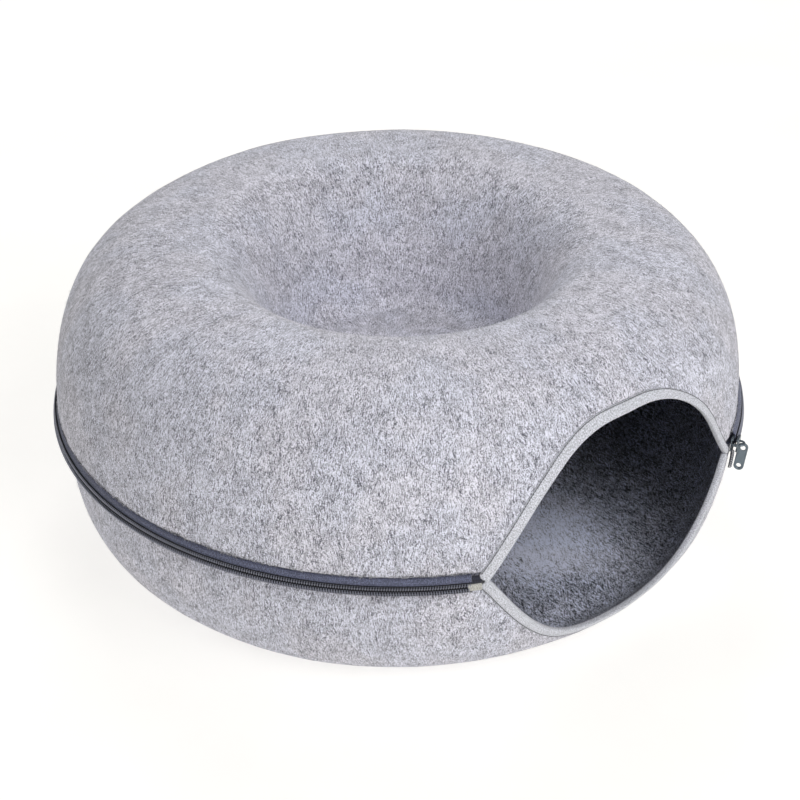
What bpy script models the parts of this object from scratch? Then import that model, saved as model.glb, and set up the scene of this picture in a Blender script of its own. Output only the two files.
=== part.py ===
"""Donut cat bed: two moulded felt shells that a zip joins round a tunnel.

Metres, +Z up. The origin is the middle of the flat base, and the doorway faces -Y.
"""

import math

import bmesh
import bpy
from mathutils import Matrix, Vector

MM = 0.001

# Driving dimensions
ZIP_RADIUS = 300 * MM
ZIP_HEIGHT = 115.5 * MM
BED_HEIGHT = 260.5 * MM
FELT = 4.5 * MM
GAP = 0.3 * MM

# Upper shell: outer wall, crown, and the funnel down to the well's floor
UPPER_RADIUS = 298.5 * MM
CROWN_RADIUS = 180 * MM
WALL_EXPONENT = 2.6
FUNNEL_RADIUS = 100 * MM
FUNNEL_DEPTH = 230 * MM
FUNNEL_EXPONENT = 2.4
WELL_FLOOR = 135 * MM
WELL_FILLET = 14 * MM

# Lower shell: a dish with a flat base
LOWER_RADIUS = 293.5 * MM
BASE_RADIUS = 230 * MM
DISH_EXPONENT = 2.5

# Zip
FELT_EDGE = 10.4 * MM
TAPE = 1.0 * MM
TAPE_REACH = 24 * MM
CHAIN_HEIGHT = 6.0 * MM
CHAIN_DEPTH = 1.8 * MM
CHAIN_INNER = 300.4 * MM
TAPE_NOTCH = 4.2 * MM
TAPE_SET_IN = 3.0 * MM
FOLD_THICK = 1.4 * MM
FOLD_RISE = 8.4 * MM
COVER_THICK = 2.4 * MM
OPEN_END_THICK = 1.8 * MM
OPEN_END_DROP = 19 * MM

# Places along the zip: degrees from the doorway's middle, the slider at the right corner
ZIP_END = 28.5
CORNER = 27.5
SLIDER_ANGLE = 31.8
OPEN_END = (29.2, 30.2)
END_GAP = 0.4 * MM

# Slider and pull tab
SLIDER_SIZE = (12 * MM, 6.2 * MM, 11 * MM)
SLIDER_BACK = 1.9 * MM
SLIDER_MOUTH = 8 * MM
CHAIN_ENTRY = 4 * MM
BRIDGE_SPAN = 7 * MM
BRIDGE_REACH = 8.2 * MM
BRIDGE_WIRE = 0.7 * MM
PULL_SIZE = (1.6 * MM, 9 * MM, 27 * MM)
PULL_CORNER = 3 * MM
PULL_SLOT = (5.6 * MM, 3.2 * MM)
PULL_EYE = 2.4 * MM
PULL_LEAN = 7

# Doorway: an upper and a lower arch that meet in a point at the zip on each side
DOOR_HALF_ANGLE = 27.0
ARCH_RISE = 105.3 * MM
ARCH_SHAPE = (2.9, 1.15)
LIP_DROP = 90.5 * MM
LIP_SHAPE = (3.0, 1.35)
BINDING_WIDTH = 7.5 * MM
BINDING_END = 1.5 * MM
RIBBON = 0.8 * MM
RIBBON_GAP = 0.8 * MM

# How finely the round pieces are cut into flats
TURN_STEPS = 52
ZIP_STEP = 6.5
WALL_STEPS = 8
ARCH_STEPS = 27
CREASE_STEPS = 1000

# The wedge that cuts the doorway, from inside the wall to outside it
WEDGE_NEAR = 235 * MM
WEDGE_FAR = 310 * MM
WEDGE_STEPS = 6


def clear_scene():
    for obj in list(bpy.data.objects):
        bpy.data.objects.remove(obj, do_unlink=True)


def new_collection(name):
    collection = bpy.data.collections.new(name)
    bpy.context.scene.collection.children.link(collection)
    return collection


def new_material(name, colour, roughness, metallic=0.0):
    material = bpy.data.materials.new(name)
    material.use_nodes = True
    shader = material.node_tree.nodes["Principled BSDF"]
    shader.inputs["Base Color"].default_value = (*colour, 1.0)
    shader.inputs["Roughness"].default_value = roughness
    shader.inputs["Metallic"].default_value = metallic
    return material


def place(name, mesh, collection, material=None):
    obj = bpy.data.objects.new(name, mesh)
    collection.objects.link(obj)
    if material:
        mesh.materials.append(material)
    return obj


def quarter(start, end, exponent, steps, first=0.0):
    """Quarter of a superellipse from start, where it stands upright, to end, where it lies level."""
    points = []
    for step in range(steps + 1):
        turn = first + (math.pi / 2 - first) * step / steps
        across = max(math.cos(turn), 0.0) ** (2 / exponent)
        along = math.sin(turn) ** (2 / exponent)
        points.append(
            (end[0] + (start[0] - end[0]) * across, start[1] + (end[1] - start[1]) * along)
        )
    return points


def turn_at(share, exponent):
    """Where in a quarter its height has covered this share of the way."""
    return math.asin(share ** (exponent / 2))


def upper_profile(edge):
    """From the axis over the well's floor, up the funnel, over the crown and down to the edge."""
    funnel_foot = BED_HEIGHT - FUNNEL_DEPTH
    crown = (CROWN_RADIUS, BED_HEIGHT)
    share = (WELL_FLOOR + WELL_FILLET - funnel_foot) / FUNNEL_DEPTH
    funnel = quarter(
        (FUNNEL_RADIUS, funnel_foot), crown, FUNNEL_EXPONENT, WALL_STEPS,
        turn_at(share, FUNNEL_EXPONENT),
    )
    foot = funnel[0][0]
    fillet = quarter((foot, WELL_FLOOR + WELL_FILLET), (foot - WELL_FILLET, WELL_FLOOR), 2, 3)
    wall = quarter(
        (UPPER_RADIUS, ZIP_HEIGHT), crown, WALL_EXPONENT, WALL_STEPS,
        turn_at(FELT_EDGE / (BED_HEIGHT - ZIP_HEIGHT), WALL_EXPONENT),
    )
    points = [(0.0, WELL_FLOOR)] + fillet[::-1] + funnel[1:] + wall[-2::-1]
    if edge < FELT_EDGE:
        points.append((UPPER_RADIUS, ZIP_HEIGHT + edge))
    return points


def lower_profile(edge):
    """From the edge down the outer side and in under the base to the axis."""
    wall = quarter(
        (LOWER_RADIUS, ZIP_HEIGHT), (BASE_RADIUS, 0.0), DISH_EXPONENT, WALL_STEPS,
        turn_at(FELT_EDGE / ZIP_HEIGHT, DISH_EXPONENT),
    )
    if edge < FELT_EDGE:
        wall.insert(0, (LOWER_RADIUS, ZIP_HEIGHT - edge))
    return wall + [(0.0, 0.0)]


def turned(name, profile, collection, material, thick, outside, sweep=360.0, steps=TURN_STEPS):
    """A profile turned about Z into a sheet: thick in all, outside of it beyond the profile."""
    mesh = bpy.data.meshes.new(name)
    edges = [(i, i + 1) for i in range(len(profile) - 1)]
    mesh.from_pydata([(r, 0.0, z) for r, z in profile], edges, [])
    obj = place(name, mesh, collection, material)
    screw = obj.modifiers.new("Turn", "SCREW")
    screw.angle = math.radians(sweep)
    screw.steps = steps
    screw.render_steps = steps
    screw.use_merge_vertices = True
    screw.merge_threshold = 0.0001
    screw.use_smooth_shade = True
    solid = obj.modifiers.new("Sheet", "SOLIDIFY")
    solid.thickness = thick
    solid.offset = 2 * outside / thick - 1
    solid.use_even_offset = True
    return obj


def arch_point(rise, shape, share):
    """A point (arc, height over the zip) of an arch, and the way out of the opening there."""
    half = ZIP_RADIUS * math.radians(DOOR_HALF_ANGLE)

    def spot(at):
        return Vector((half * at, rise * (1 - abs(at) ** shape[0]) ** shape[1]))

    low, high = max(share - 0.001, -1), min(share + 0.001, 1)
    along = spot(high) - spot(low)
    return spot(share), Vector((-along.y, along.x)).normalized() * math.copysign(1, rise)


def arch_shares(profile, rise, shape):
    """Places along an arch, closer together near its feet, with one at each crease of the wall."""
    shares = [math.sin(math.pi * (step / ARCH_STEPS - 0.5)) for step in range(ARCH_STEPS + 1)]
    last = None
    for step in range(1, CREASE_STEPS):
        share = 2 * step / CREASE_STEPS - 1
        point, out = arch_point(rise, shape, share)
        spot = point + out * BINDING_WIDTH / 3
        flat = math.floor(spot.x / ZIP_RADIUS / math.tau * TURN_STEPS)
        row = sum(z > ZIP_HEIGHT + spot.y for _, z in profile)
        if last and last != (flat, row):
            shares = [other for other in shares if abs(other - share) > 0.02 or abs(other) == 1]
            shares.append(share)
        last = (flat, row)
    return sorted(shares)


def lofted(name, rings, collection, material=None):
    """A closed skin over rings of points, with a flat cap on the first ring and on the last."""
    shape = bmesh.new()
    loops = [[shape.verts.new(spot) for spot in ring] for ring in rings]
    for one, two in zip(loops, loops[1:]):
        for i in range(len(one)):
            shape.faces.new((one[i - 1], one[i], two[i], two[i - 1]))
    shape.faces.new(loops[0])
    shape.faces.new(loops[-1])
    bmesh.ops.recalc_face_normals(shape, faces=shape.faces)
    mesh = bpy.data.meshes.new(name)
    shape.to_mesh(mesh)
    shape.free()
    return place(name, mesh, collection, material)


def door_cutter(name, rise, shape, shares, collection):
    """A wedge that widens away from the axis, so that it cuts each wall square to its run."""
    outline = [arch_point(rise, shape, share)[0] for share in shares]
    foot = -math.copysign(BINDING_END, rise)
    outline += [Vector((outline[-1].x, foot)), Vector((outline[0].x, foot))]
    rings = []
    for step in range(WEDGE_STEPS + 1):
        out = WEDGE_NEAR + (WEDGE_FAR - WEDGE_NEAR) * step / WEDGE_STEPS
        turns = [(arc / ZIP_RADIUS, ZIP_HEIGHT + height) for arc, height in outline]
        rings.append([(out * math.tan(turn), -out, height) for turn, height in turns])
    return hide(lofted(name, rings, collection))


def hide(obj):
    obj.hide_render = True
    obj.display_type = "WIRE"
    return obj


def boolean(obj, other, operation="DIFFERENCE"):
    modifier = obj.modifiers.new(operation.title(), "BOOLEAN")
    modifier.object = other
    modifier.operation = operation
    modifier.solver = "EXACT"


def make_shell(half, profile, rise, shape, shares, parts, cutters, felt):
    """One felt half with its arch cut out."""
    shell = turned(half + "_shell", profile, parts, felt, FELT, 0.0)
    boolean(shell, door_cutter(half + "_door", rise, shape, shares, cutters))


def raised(profile, lift):
    """The profile across the middle of a turned sheet's flats, moved out from them by lift."""
    middle = math.cos(math.pi / TURN_STEPS)
    line = [Vector((r * middle, z)) for r, z in profile]
    sides = [(b - a).normalized() for a, b in zip(line, line[1:])]
    normals = [Vector((-side.y, side.x)) for side in sides]
    moved = []
    for i, point in enumerate(line):
        before = normals[max(i - 1, 0)]
        after = normals[min(i, len(normals) - 1)]
        moved.append(point + (before + after) * lift / (1 + before.dot(after)))
    return moved


def on_flats(line, arc, height):
    """The point of a raised line's flats at this arc along the zip and height over it."""
    z = ZIP_HEIGHT + height
    middle = 0.0
    for high, low in zip(line, line[1:]):
        if low.y <= z <= high.y:
            middle = low.x + (high.x - low.x) * (z - low.y) / (high.y - low.y)
    step = math.tau / TURN_STEPS
    turn = arc / ZIP_RADIUS - math.pi / 2
    aside = turn - (math.floor(turn / step) + 0.5) * step
    radius = middle / math.cos(aside)
    return radius * math.cos(turn), radius * math.sin(turn), z


def make_binding(half, profile, rise, shape, shares, parts, ribbon):
    """A ribbon folded round the felt's cut edge, as wide on the outside as on the inside."""
    limit = ZIP_RADIUS * math.radians(CORNER)
    foot = math.copysign(BINDING_END, rise)
    cover = RIBBON_GAP + RIBBON
    wide = BINDING_WIDTH - cover
    half_way = (wide - RIBBON_GAP) / 2
    inside = -FELT
    section = [(wide, cover), (half_way, cover), (-cover, cover)]
    section += [(grow, inside - lift) for grow, lift in section[::-1]]
    lining = [(wide, RIBBON_GAP), (half_way, RIBBON_GAP), (-RIBBON_GAP, RIBBON_GAP)]
    section += [(grow, inside - lift) for grow, lift in lining] + lining[::-1]
    lines = {lift: raised(profile, lift) for _, lift in section}

    def ring(share):
        """The arc and height of each point of the section, held off the zip's ends."""
        point, out = arch_point(rise, shape, share)
        for grow, lift in section:
            reach = grow
            if abs(point.x + out.x * grow) > limit:
                reach = (limit - abs(point.x)) / abs(out.x)
            spot = point + out * reach
            yield lift, spot.x, spot.y

    def end_ring(side):
        """The section at a foot of the arch, cut level."""
        share = (1 - (foot / rise) ** (1 / shape[1])) ** (1 / shape[0])
        point, out = arch_point(rise, shape, side * share)
        for grow, lift in section:
            arc = abs(point.x) + grow / abs(out.x)
            yield lift, side * min(arc, limit), foot

    rings = [list(end_ring(-1))]
    for share in shares:
        point, out = arch_point(rise, shape, share)
        if abs((point - out * cover).y) > 3 * BINDING_END:
            rings.append(list(ring(share)))
    rings.append(list(end_ring(1)))
    spots = [[on_flats(lines[lift], arc, z) for lift, arc, z in row] for row in rings]
    lofted("binding_" + half, spots, parts, ribbon)


def around(name, line, collection, material, thick, first, last):
    """A narrow sheet turned round the bed from the angle first to last, counted from -Y."""
    steps = math.ceil((last - first) / ZIP_STEP)
    obj = turned(name, line, collection, material, thick, thick / 2, last - first, steps)
    obj.rotation_euler.z = math.radians(first - 90)
    return obj


def at_zip(angle, radius=ZIP_RADIUS, height=0.0):
    """A frame on the zip's circle: X along the zip, Y outwards, Z up."""
    turn = math.radians(angle)
    spot = Vector((radius * math.sin(turn), -radius * math.cos(turn), ZIP_HEIGHT + height))
    return Matrix.Translation(spot) @ Matrix.Rotation(turn + math.pi, 4, "Z")


def make_zip(parts, cutters, cloth, coil, pale):
    """The tapes behind the felt's edges, the closed rows, and what finishes them at the corners."""
    notch = math.degrees(END_GAP / ZIP_RADIUS)
    reach = SLIDER_SIZE[0] / 2 - CHAIN_ENTRY
    ends = (SLIDER_ANGLE + math.degrees(reach / ZIP_RADIUS), 360 - ZIP_END)
    corner = (ends[1] + notch, 360 - CORNER - notch)
    front = CHAIN_INNER - GAP - TAPE / 2

    def line(shell_radius, side, first=TAPE_REACH):
        """A tape's run from inside the felt, out past its edge and down to the chain."""
        inner = shell_radius - FELT - TAPE_SET_IN
        share = (min(first, FELT_EDGE) - TAPE_NOTCH) / (FELT_EDGE - TAPE_NOTCH)
        knee = (front - GAP, TAPE_NOTCH)
        felt_edge = (knee[0] + (inner - knee[0]) * share, min(first, FELT_EDGE))
        rows = [felt_edge, knee, (front, 0.8 * GAP)]
        if first > FELT_EDGE:
            rows.insert(0, (inner, first))
        return [(radius, ZIP_HEIGHT + side * height) for radius, height in rows[::side]]

    length, depth, height = [size + 2 * GAP for size in SLIDER_SIZE]
    space = box(
        "slider_space",
        (-length / 2, -2 * depth, -height / 2 - GAP),
        (length / 2, depth, height / 2 + GAP),
        cutters,
    )
    hide(space).matrix_world = at_zip(SLIDER_ANGLE)
    for half, radius, side in (("upper", UPPER_RADIUS, 1), ("lower", LOWER_RADIUS, -1)):
        tape = around("zip_tape_" + half, line(radius, side), parts, cloth, TAPE, *ends)
        boolean(tape, space)
    half = CHAIN_HEIGHT / 2
    middle = CHAIN_INNER + CHAIN_DEPTH / 2
    rows = [(middle, ZIP_HEIGHT + half), (middle, ZIP_HEIGHT - half)]
    around("zip_chain", rows, parts, coil, CHAIN_DEPTH, *ends)
    middle = front + FOLD_THICK / 2 + GAP + COVER_THICK / 2
    rows = [(middle, ZIP_HEIGHT + half), (middle, ZIP_HEIGHT - half)]
    around("zip_end_cover", rows, parts, pale, COVER_THICK, *corner)
    around("zip_tape_fold", line(UPPER_RADIUS, 1, FOLD_RISE), parts, cloth, FOLD_THICK, *corner)
    lower = LOWER_RADIUS + GAP + OPEN_END_THICK / 2
    tail = [
        (CHAIN_INNER - TAPE, ZIP_HEIGHT - half - 2 * GAP),
        (lower, ZIP_HEIGHT - FELT_EDGE),
        (lower, ZIP_HEIGHT - OPEN_END_DROP),
    ]
    around("zip_end_open", tail, parts, cloth, OPEN_END_THICK, *OPEN_END)


def box(name, low, high, collection, material=None):
    """A block between two corners in its own frame."""
    shape = bmesh.new()
    bmesh.ops.create_cube(shape, size=1)
    size = [b - a for a, b in zip(low, high)]
    middle = [(a + b) / 2 for a, b in zip(low, high)]
    bmesh.ops.scale(shape, vec=size, verts=shape.verts)
    bmesh.ops.translate(shape, vec=middle, verts=shape.verts)
    mesh = bpy.data.meshes.new(name)
    shape.to_mesh(mesh)
    shape.free()
    return place(name, mesh, collection, material)


def bevel(obj, width, segments=2):
    modifier = obj.modifiers.new("Bevel", "BEVEL")
    modifier.width = width
    modifier.segments = segments
    modifier.limit_method = "ANGLE"
    modifier.angle_limit = math.radians(40)


def wire(name, points, radius, collection):
    """A bent round wire as a closed mesh."""
    curve = bpy.data.curves.new(name, "CURVE")
    curve.dimensions = "3D"
    curve.bevel_depth = radius
    curve.bevel_resolution = 2
    curve.use_fill_caps = True
    spline = curve.splines.new("POLY")
    spline.points.add(len(points) - 1)
    for point, spot in zip(spline.points, points):
        point.co = (*spot, 1)
    guide = bpy.data.objects.new(name + "_guide", curve)
    collection.objects.link(guide)
    graph = bpy.context.evaluated_depsgraph_get()
    mesh = bpy.data.meshes.new_from_object(guide.evaluated_get(graph))
    bpy.data.objects.remove(guide)
    shape = bmesh.new()
    shape.from_mesh(mesh)
    bmesh.ops.remove_doubles(shape, verts=shape.verts, dist=0.00001)
    bmesh.ops.recalc_face_normals(shape, faces=shape.faces)
    shape.to_mesh(mesh)
    shape.free()
    return hide(place(name, mesh, collection))


def make_slider(parts, cutters, metal):
    """The slider takes in the end of the chain, and its bridge carries the pull."""
    frame = at_zip(SLIDER_ANGLE)
    length, depth, height = SLIDER_SIZE
    low = (-length / 2, -SLIDER_BACK, -height / 2)
    slider = box("zip_slider", low, (length / 2, depth - SLIDER_BACK, height / 2), parts, metal)
    bevel(slider, 1.0 * MM)
    chain_front = CHAIN_INNER - ZIP_RADIUS
    mouth = box(
        "slider_mouth",
        (-length, chain_front - 2 * GAP, -height),
        (SLIDER_MOUTH - length / 2, chain_front + CHAIN_DEPTH + 2 * GAP, height),
        cutters,
    )
    face = depth - SLIDER_BACK
    span = BRIDGE_SPAN / 2
    bend = BRIDGE_WIRE
    bridge = wire(
        "slider_bridge",
        [
            (-span, face - bend, 0),
            (-span, BRIDGE_REACH - 2 * bend, 0),
            (bend * 2 - span, BRIDGE_REACH, 0),
            (span - bend * 2, BRIDGE_REACH, 0),
            (span, BRIDGE_REACH - 2 * bend, 0),
            (span, face - bend, 0),
        ],
        BRIDGE_WIRE,
        cutters,
    )
    boolean(slider, hide(mouth))
    boolean(slider, bridge, "UNION")
    for obj in (slider, mouth, bridge):
        obj.matrix_world = frame


def make_pull(parts, cutters, metal):
    """A flat tab whose slot hangs on the bridge; it stands square to the zip."""
    thick, width, length = PULL_SIZE
    slot_width, slot_height = PULL_SLOT
    top = BRIDGE_WIRE + 2 * GAP
    left = -BRIDGE_WIRE - 2 * GAP
    rim = 1.3 * MM
    pull = box(
        "zip_pull",
        (-thick / 2, left - rim, top + rim - length),
        (thick / 2, left - rim + width, top + rim),
        parts,
        metal,
    )
    edges = pull.modifiers.new("Corners", "BEVEL")
    edges.width = PULL_CORNER
    edges.segments = 4
    edges.limit_method = "WEIGHT"
    weights = pull.data.attributes.new("bevel_weight_edge", "FLOAT", "EDGE")
    for edge in pull.data.edges:
        ends = [pull.data.vertices[i].co for i in edge.vertices]
        weights.data[edge.index].value = float(abs(ends[0].x - ends[1].x) > thick / 2)
    slot = box(
        "pull_slot",
        (-thick, left, top - slot_height),
        (thick, left + slot_width, top),
        cutters,
    )
    bevel(slot, 1.2 * MM)
    shape = bmesh.new()
    bmesh.ops.create_cone(
        shape, cap_ends=True, segments=20, radius1=PULL_EYE, radius2=PULL_EYE, depth=3 * thick,
        matrix=Matrix.Translation((0, left - rim + width / 2, top + rim - length + 1.9 * PULL_EYE))
        @ Matrix.Rotation(math.pi / 2, 4, "Y"),
    )
    mesh = bpy.data.meshes.new("pull_eye")
    shape.to_mesh(mesh)
    shape.free()
    eye = place("pull_eye", mesh, cutters)
    for cutter in (slot, eye):
        boolean(pull, hide(cutter))
    lean = Matrix.Rotation(math.radians(-PULL_LEAN), 4, "X")
    for obj in (pull, slot, eye):
        obj.matrix_world = at_zip(SLIDER_ANGLE, ZIP_RADIUS + BRIDGE_REACH) @ lean


def main():
    clear_scene()
    parts = new_collection("donut_cat_bed")
    cutters = new_collection("cutters")
    felt = new_material("grey_felt", (0.52, 0.52, 0.55), 0.95)
    ribbon = new_material("pale_ribbon", (0.62, 0.63, 0.65), 0.85)
    tape = new_material("slate_tape", (0.10, 0.12, 0.17), 0.8)
    coil = new_material("slate_coil", (0.07, 0.08, 0.11), 0.45)
    pale = new_material("ivory_cloth", (0.66, 0.64, 0.56), 0.85)
    metal = new_material("gunmetal", (0.20, 0.22, 0.24), 0.35, 1.0)
    halves = (
        ("upper", upper_profile, ARCH_RISE, ARCH_SHAPE),
        ("lower", lower_profile, -LIP_DROP, LIP_SHAPE),
    )
    for half, profile, rise, shape in halves:
        wall = profile(BINDING_END / 2)
        shares = arch_shares(wall, rise, shape)
        make_shell(half, profile(FELT_EDGE), rise, shape, shares, parts, cutters, felt)
        make_binding(half, wall, rise, shape, shares, parts, ribbon)
    make_zip(parts, cutters, tape, coil, pale)
    make_slider(parts, cutters, metal)
    make_pull(parts, cutters, metal)


main()
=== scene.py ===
"""Finish of a round felt cat bed: moulded shells, bindings, zip, studio floor and light."""

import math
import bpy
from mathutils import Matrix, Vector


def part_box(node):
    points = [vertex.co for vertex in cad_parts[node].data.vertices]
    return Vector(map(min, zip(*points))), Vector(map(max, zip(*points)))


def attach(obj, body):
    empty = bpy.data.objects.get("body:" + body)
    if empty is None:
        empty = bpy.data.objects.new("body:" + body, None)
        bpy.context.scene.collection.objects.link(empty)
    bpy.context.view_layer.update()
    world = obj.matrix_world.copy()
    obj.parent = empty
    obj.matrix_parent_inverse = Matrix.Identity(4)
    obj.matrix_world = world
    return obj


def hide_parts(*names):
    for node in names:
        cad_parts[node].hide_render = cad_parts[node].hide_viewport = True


bl_info = {
    "name": "Donut Cat Bed",
    "version": (1, 0, 0),
    "blender": (4, 5, 0),
    "location": "View3D > Sidebar > Cat Bed",
    "description": "Builds the felt, bindings, zip and studio of a round cat bed",
    "category": "Object",
}

import bmesh
import bpy
import numpy as np
from bpy.props import FloatProperty, FloatVectorProperty, IntProperty, PointerProperty
from mathutils import Matrix, Vector

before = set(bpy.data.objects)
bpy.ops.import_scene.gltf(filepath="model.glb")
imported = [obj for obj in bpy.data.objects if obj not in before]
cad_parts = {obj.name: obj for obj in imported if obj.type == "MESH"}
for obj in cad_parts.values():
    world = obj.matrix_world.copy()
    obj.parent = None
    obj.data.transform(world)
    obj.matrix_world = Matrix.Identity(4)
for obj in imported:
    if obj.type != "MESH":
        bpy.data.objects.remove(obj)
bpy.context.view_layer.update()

MM = 0.001
BODY = "root"
TURN = math.tau

# Superellipse exponents of the turned walls, and of the doorway's arches left and right
WALL_EXPONENT = 2.6
FUNNEL_EXPONENT = 2.4
DISH_EXPONENT = 2.5
ARCH_SHAPE = ((2.85, 1.20), (2.95, 1.4))
LIP_SHAPE = ((3.05, 1.33), (2.9, 1.5))

# Radius of the round blanks of felt that the two halves are moulded from
UPPER_BLANK, LOWER_BLANK = 0.395, 0.350

# How many points the felt has round the bed, and how far from the doorway its pull is felt
FELT_TURNS = 380
DOOR_REACH = 60 * MM

# Angles round the zip, in degrees from the doorway's middle
DOOR_LEFT, DOOR_RIGHT = 27.0, 28.3
CORNER_LEFT, CORNER_RIGHT = 27.5, 28.8
ZIP_END = 29.0
SLIDER_ANGLE = 31.8
OPEN_END = (29.3, 30.4)

# The zip is sewn on a little above the middle of its chain's solid
ZIP_MIDDLE = (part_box("zip_chain")[0].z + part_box("zip_chain")[1].z) / 2
ZIP_RAISE = 0.5 * MM

# How much of its thickness the felt keeps where the binding presses it
PRESSED = 0.62

# Each lay of fibres in the felt: which way it points round the bed and how steeply, in degrees
FELT_LAYS = ((60, 20), (30, 50), (150, 55))
LINING_LAYS = ((52, 4), (76, -6), (100, 8))

# Where a pool of light is painted pale onto the lining just inside the doorway, and how far round
# it that reaches
PAINTED_LIGHT_SPOT = (40 * MM, -140 * MM, 5 * MM)
PAINTED_LIGHT_REACH = (20 * MM, 95 * MM)

# What the camera and the lights point at, and how far off they stand
AIM = Vector((0, 0, 0.12))
CAMERA_AWAY, LIGHTS_AWAY = 1.790, 2.6

# Names of the halves, by whether it's the upper one
HALVES = ("lower", "upper")

# ---------------------------------------------------------------- settings


def length(name, description, default):
    """A size that a user can change."""
    return FloatProperty(
        name=name, description=description, default=default, min=0.0, unit="LENGTH", precision=4
    )


def colour(name, description, default):
    """A colour that a user can change."""
    return FloatVectorProperty(
        name=name, description=description, default=default, size=3, min=0, max=1, subtype="COLOR"
    )


class CatBedSizes(bpy.types.PropertyGroup):
    height: length("Height", "Top of the crown over the floor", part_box("upper_shell")[1].z)
    upper_radius: length("Upper radius", "Upper half at the zip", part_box("upper_shell")[1].x)
    lower_radius: length("Lower radius", "Lower half at the zip", 293.5 * MM)
    crown_radius: length("Crown radius", "Where the ring is highest", 180 * MM)
    funnel_radius: length("Funnel radius", "Where the funnel would stand upright", 100 * MM)
    funnel_depth: length("Funnel depth", "From the crown to that place", 230 * MM)
    well_floor: length("Well floor", "Height of the well's floor", 135 * MM)
    well_fillet: length("Well fillet", "Rounding round the well's floor", 14 * MM)
    base_radius: length("Base radius", "Flat part of the underside", 230 * MM)
    zip_height: length("Zip height", "Middle of the zip over the floor", ZIP_MIDDLE + ZIP_RAISE)
    zip_radius: length("Zip radius", "Middle of the zip from the axis", 300 * MM)
    felt: length("Felt", "Thickness of the felt", 4.5 * MM)
    upper_edge: length("Upper edge", "From the zip's middle up to the felt", 11.0 * MM)
    lower_edge: length("Lower edge", "From the zip's middle down to the felt", 8.2 * MM)
    arch_rise: length("Arch rise", "Doorway over the zip", 105.3 * MM)
    lip_drop: length("Lip drop", "Doorway under the zip", 90.5 * MM)
    binding_width: length("Binding width", "Ribbon on each side of the felt", 7.5 * MM)
    coil_pitch: length("Coil pitch", "From one tooth to the next in a row", 2.05 * MM)
    fibres: IntProperty(
        name="Loose fibres", description="Fibres, shared out over felt and edges", default=9000
    )


class CatBedColours(bpy.types.PropertyGroup):
    felt_light: colour("Light fibres", "Palest fibres outside", (0.91, 0.90, 1.0))
    felt_dark: colour("Dark fibres", "Darkest fibres outside", (0.10, 0.10, 0.125))
    lining_light: colour("Light lining fibres", "Palest fibres inside", (0.80, 0.83, 1.0))
    lining_dark: colour("Dark lining fibres", "Darkest fibres inside", (0.0, 0.0, 0.0))
    fibre: colour("Loose fibres", "Fibres that stand off the felt", (0.60, 0.60, 0.64))
    ribbon: colour("Binding", "Ribbon round the doorway", (0.68, 0.69, 0.75))
    # near black: the stitches' thread, and also painted shadow along the binding's outer edge
    thread_and_shade: colour("Thread", "Stitches along the binding", (0.06, 0.06, 0.07))
    tape: colour("Zip tape", "Woven tape", (0.140, 0.152, 0.232))
    coil: colour("Zip coil", "Coil teeth", (0.27, 0.28, 0.345))
    cover: colour("End cover", "Cover over the coil's end", (0.60, 0.59, 0.555))
    metal: colour("Slider", "Slider and pull tab", (0.18, 0.215, 0.245))
    floor: colour("Floor", "Studio floor", (0.40, 0.397, 0.388))


def sizes():
    return bpy.context.scene.cat_bed_sizes


def colours():
    return bpy.context.scene.cat_bed_colours


# ---------------------------------------------------------------- turned shapes


def quarter(start, end, exponent, steps=600, first=0.0):
    """Quarter of a superellipse from start, where it stands upright, to end, where it's level."""
    turn = np.linspace(first, math.pi / 2, steps)
    across = np.clip(np.cos(turn), 0, 1) ** (2 / exponent)
    along = np.sin(turn) ** (2 / exponent)
    radius = end[0] + (start[0] - end[0]) * across
    height = start[1] + (end[1] - start[1]) * along
    return np.column_stack([radius, height])


def turn_at(share, exponent):
    """Where in a quarter its height has covered this share of the way."""
    return math.asin(max(share, 0.0) ** (exponent / 2))


def upper_line(edge):
    """Radius and height from the axis over the well's floor and the crown and down to edge."""
    s = sizes()
    crown = (s.crown_radius, s.height)
    foot_height = s.height - s.funnel_depth
    share = (s.well_floor + s.well_fillet - foot_height) / s.funnel_depth
    funnel = quarter(
        (s.funnel_radius, foot_height), crown, FUNNEL_EXPONENT,
        first=turn_at(share, FUNNEL_EXPONENT),
    )
    foot = funnel[0, 0]
    low = foot - s.well_fillet
    fillet = quarter((foot, s.well_floor + s.well_fillet), (low, s.well_floor), 2, 60)
    wall = quarter(
        (s.upper_radius, s.zip_height), crown, WALL_EXPONENT,
        first=turn_at(edge / (s.height - s.zip_height), WALL_EXPONENT),
    )
    floor = np.column_stack([np.linspace(0, low, 40), np.full(40, s.well_floor)])
    return np.vstack([floor[:-1], fillet[::-1], funnel[1:], wall[-2::-1]])


def lower_line(edge):
    """Radius and height from edge down the outer side and in under the base to the axis."""
    s = sizes()
    wall = quarter(
        (s.lower_radius, s.zip_height), (s.base_radius, 0.0), DISH_EXPONENT,
        first=turn_at(edge / s.zip_height, DISH_EXPONENT),
    )
    base = np.column_stack([np.linspace(s.base_radius, 0, 60), np.zeros(60)])
    return np.vstack([wall, base[1:]])


def outer_line(upper):
    """Outline of one half's outer face, as far as its felt reaches."""
    s = sizes()
    return upper_line(s.upper_edge) if upper else lower_line(s.lower_edge)


def distances(line):
    """How far along a line each of its points is."""
    step = np.linalg.norm(np.diff(line, axis=0), axis=1)
    return np.concatenate([[0], np.cumsum(step)])


def evenly(line, count):
    """The line with this many points, evenly apart, and how far along it each one is."""
    along = distances(line)
    places = np.linspace(0, along[-1], count)
    points = [np.interp(places, along, line[:, k]) for k in (0, 1)]
    return np.column_stack(points), places


def resampled(line, spacing):
    """The line with points this far apart, and how far along it each one is."""
    return evenly(line, int(round(distances(line)[-1] / spacing)) + 1)


def normals_of(line):
    """Normals on the left of a line, which is outwards where it runs down the outer side."""
    along = np.gradient(line, axis=0)
    along /= np.linalg.norm(along, axis=1)[:, None]
    return np.column_stack([-along[:, 1], along[:, 0]])


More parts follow.
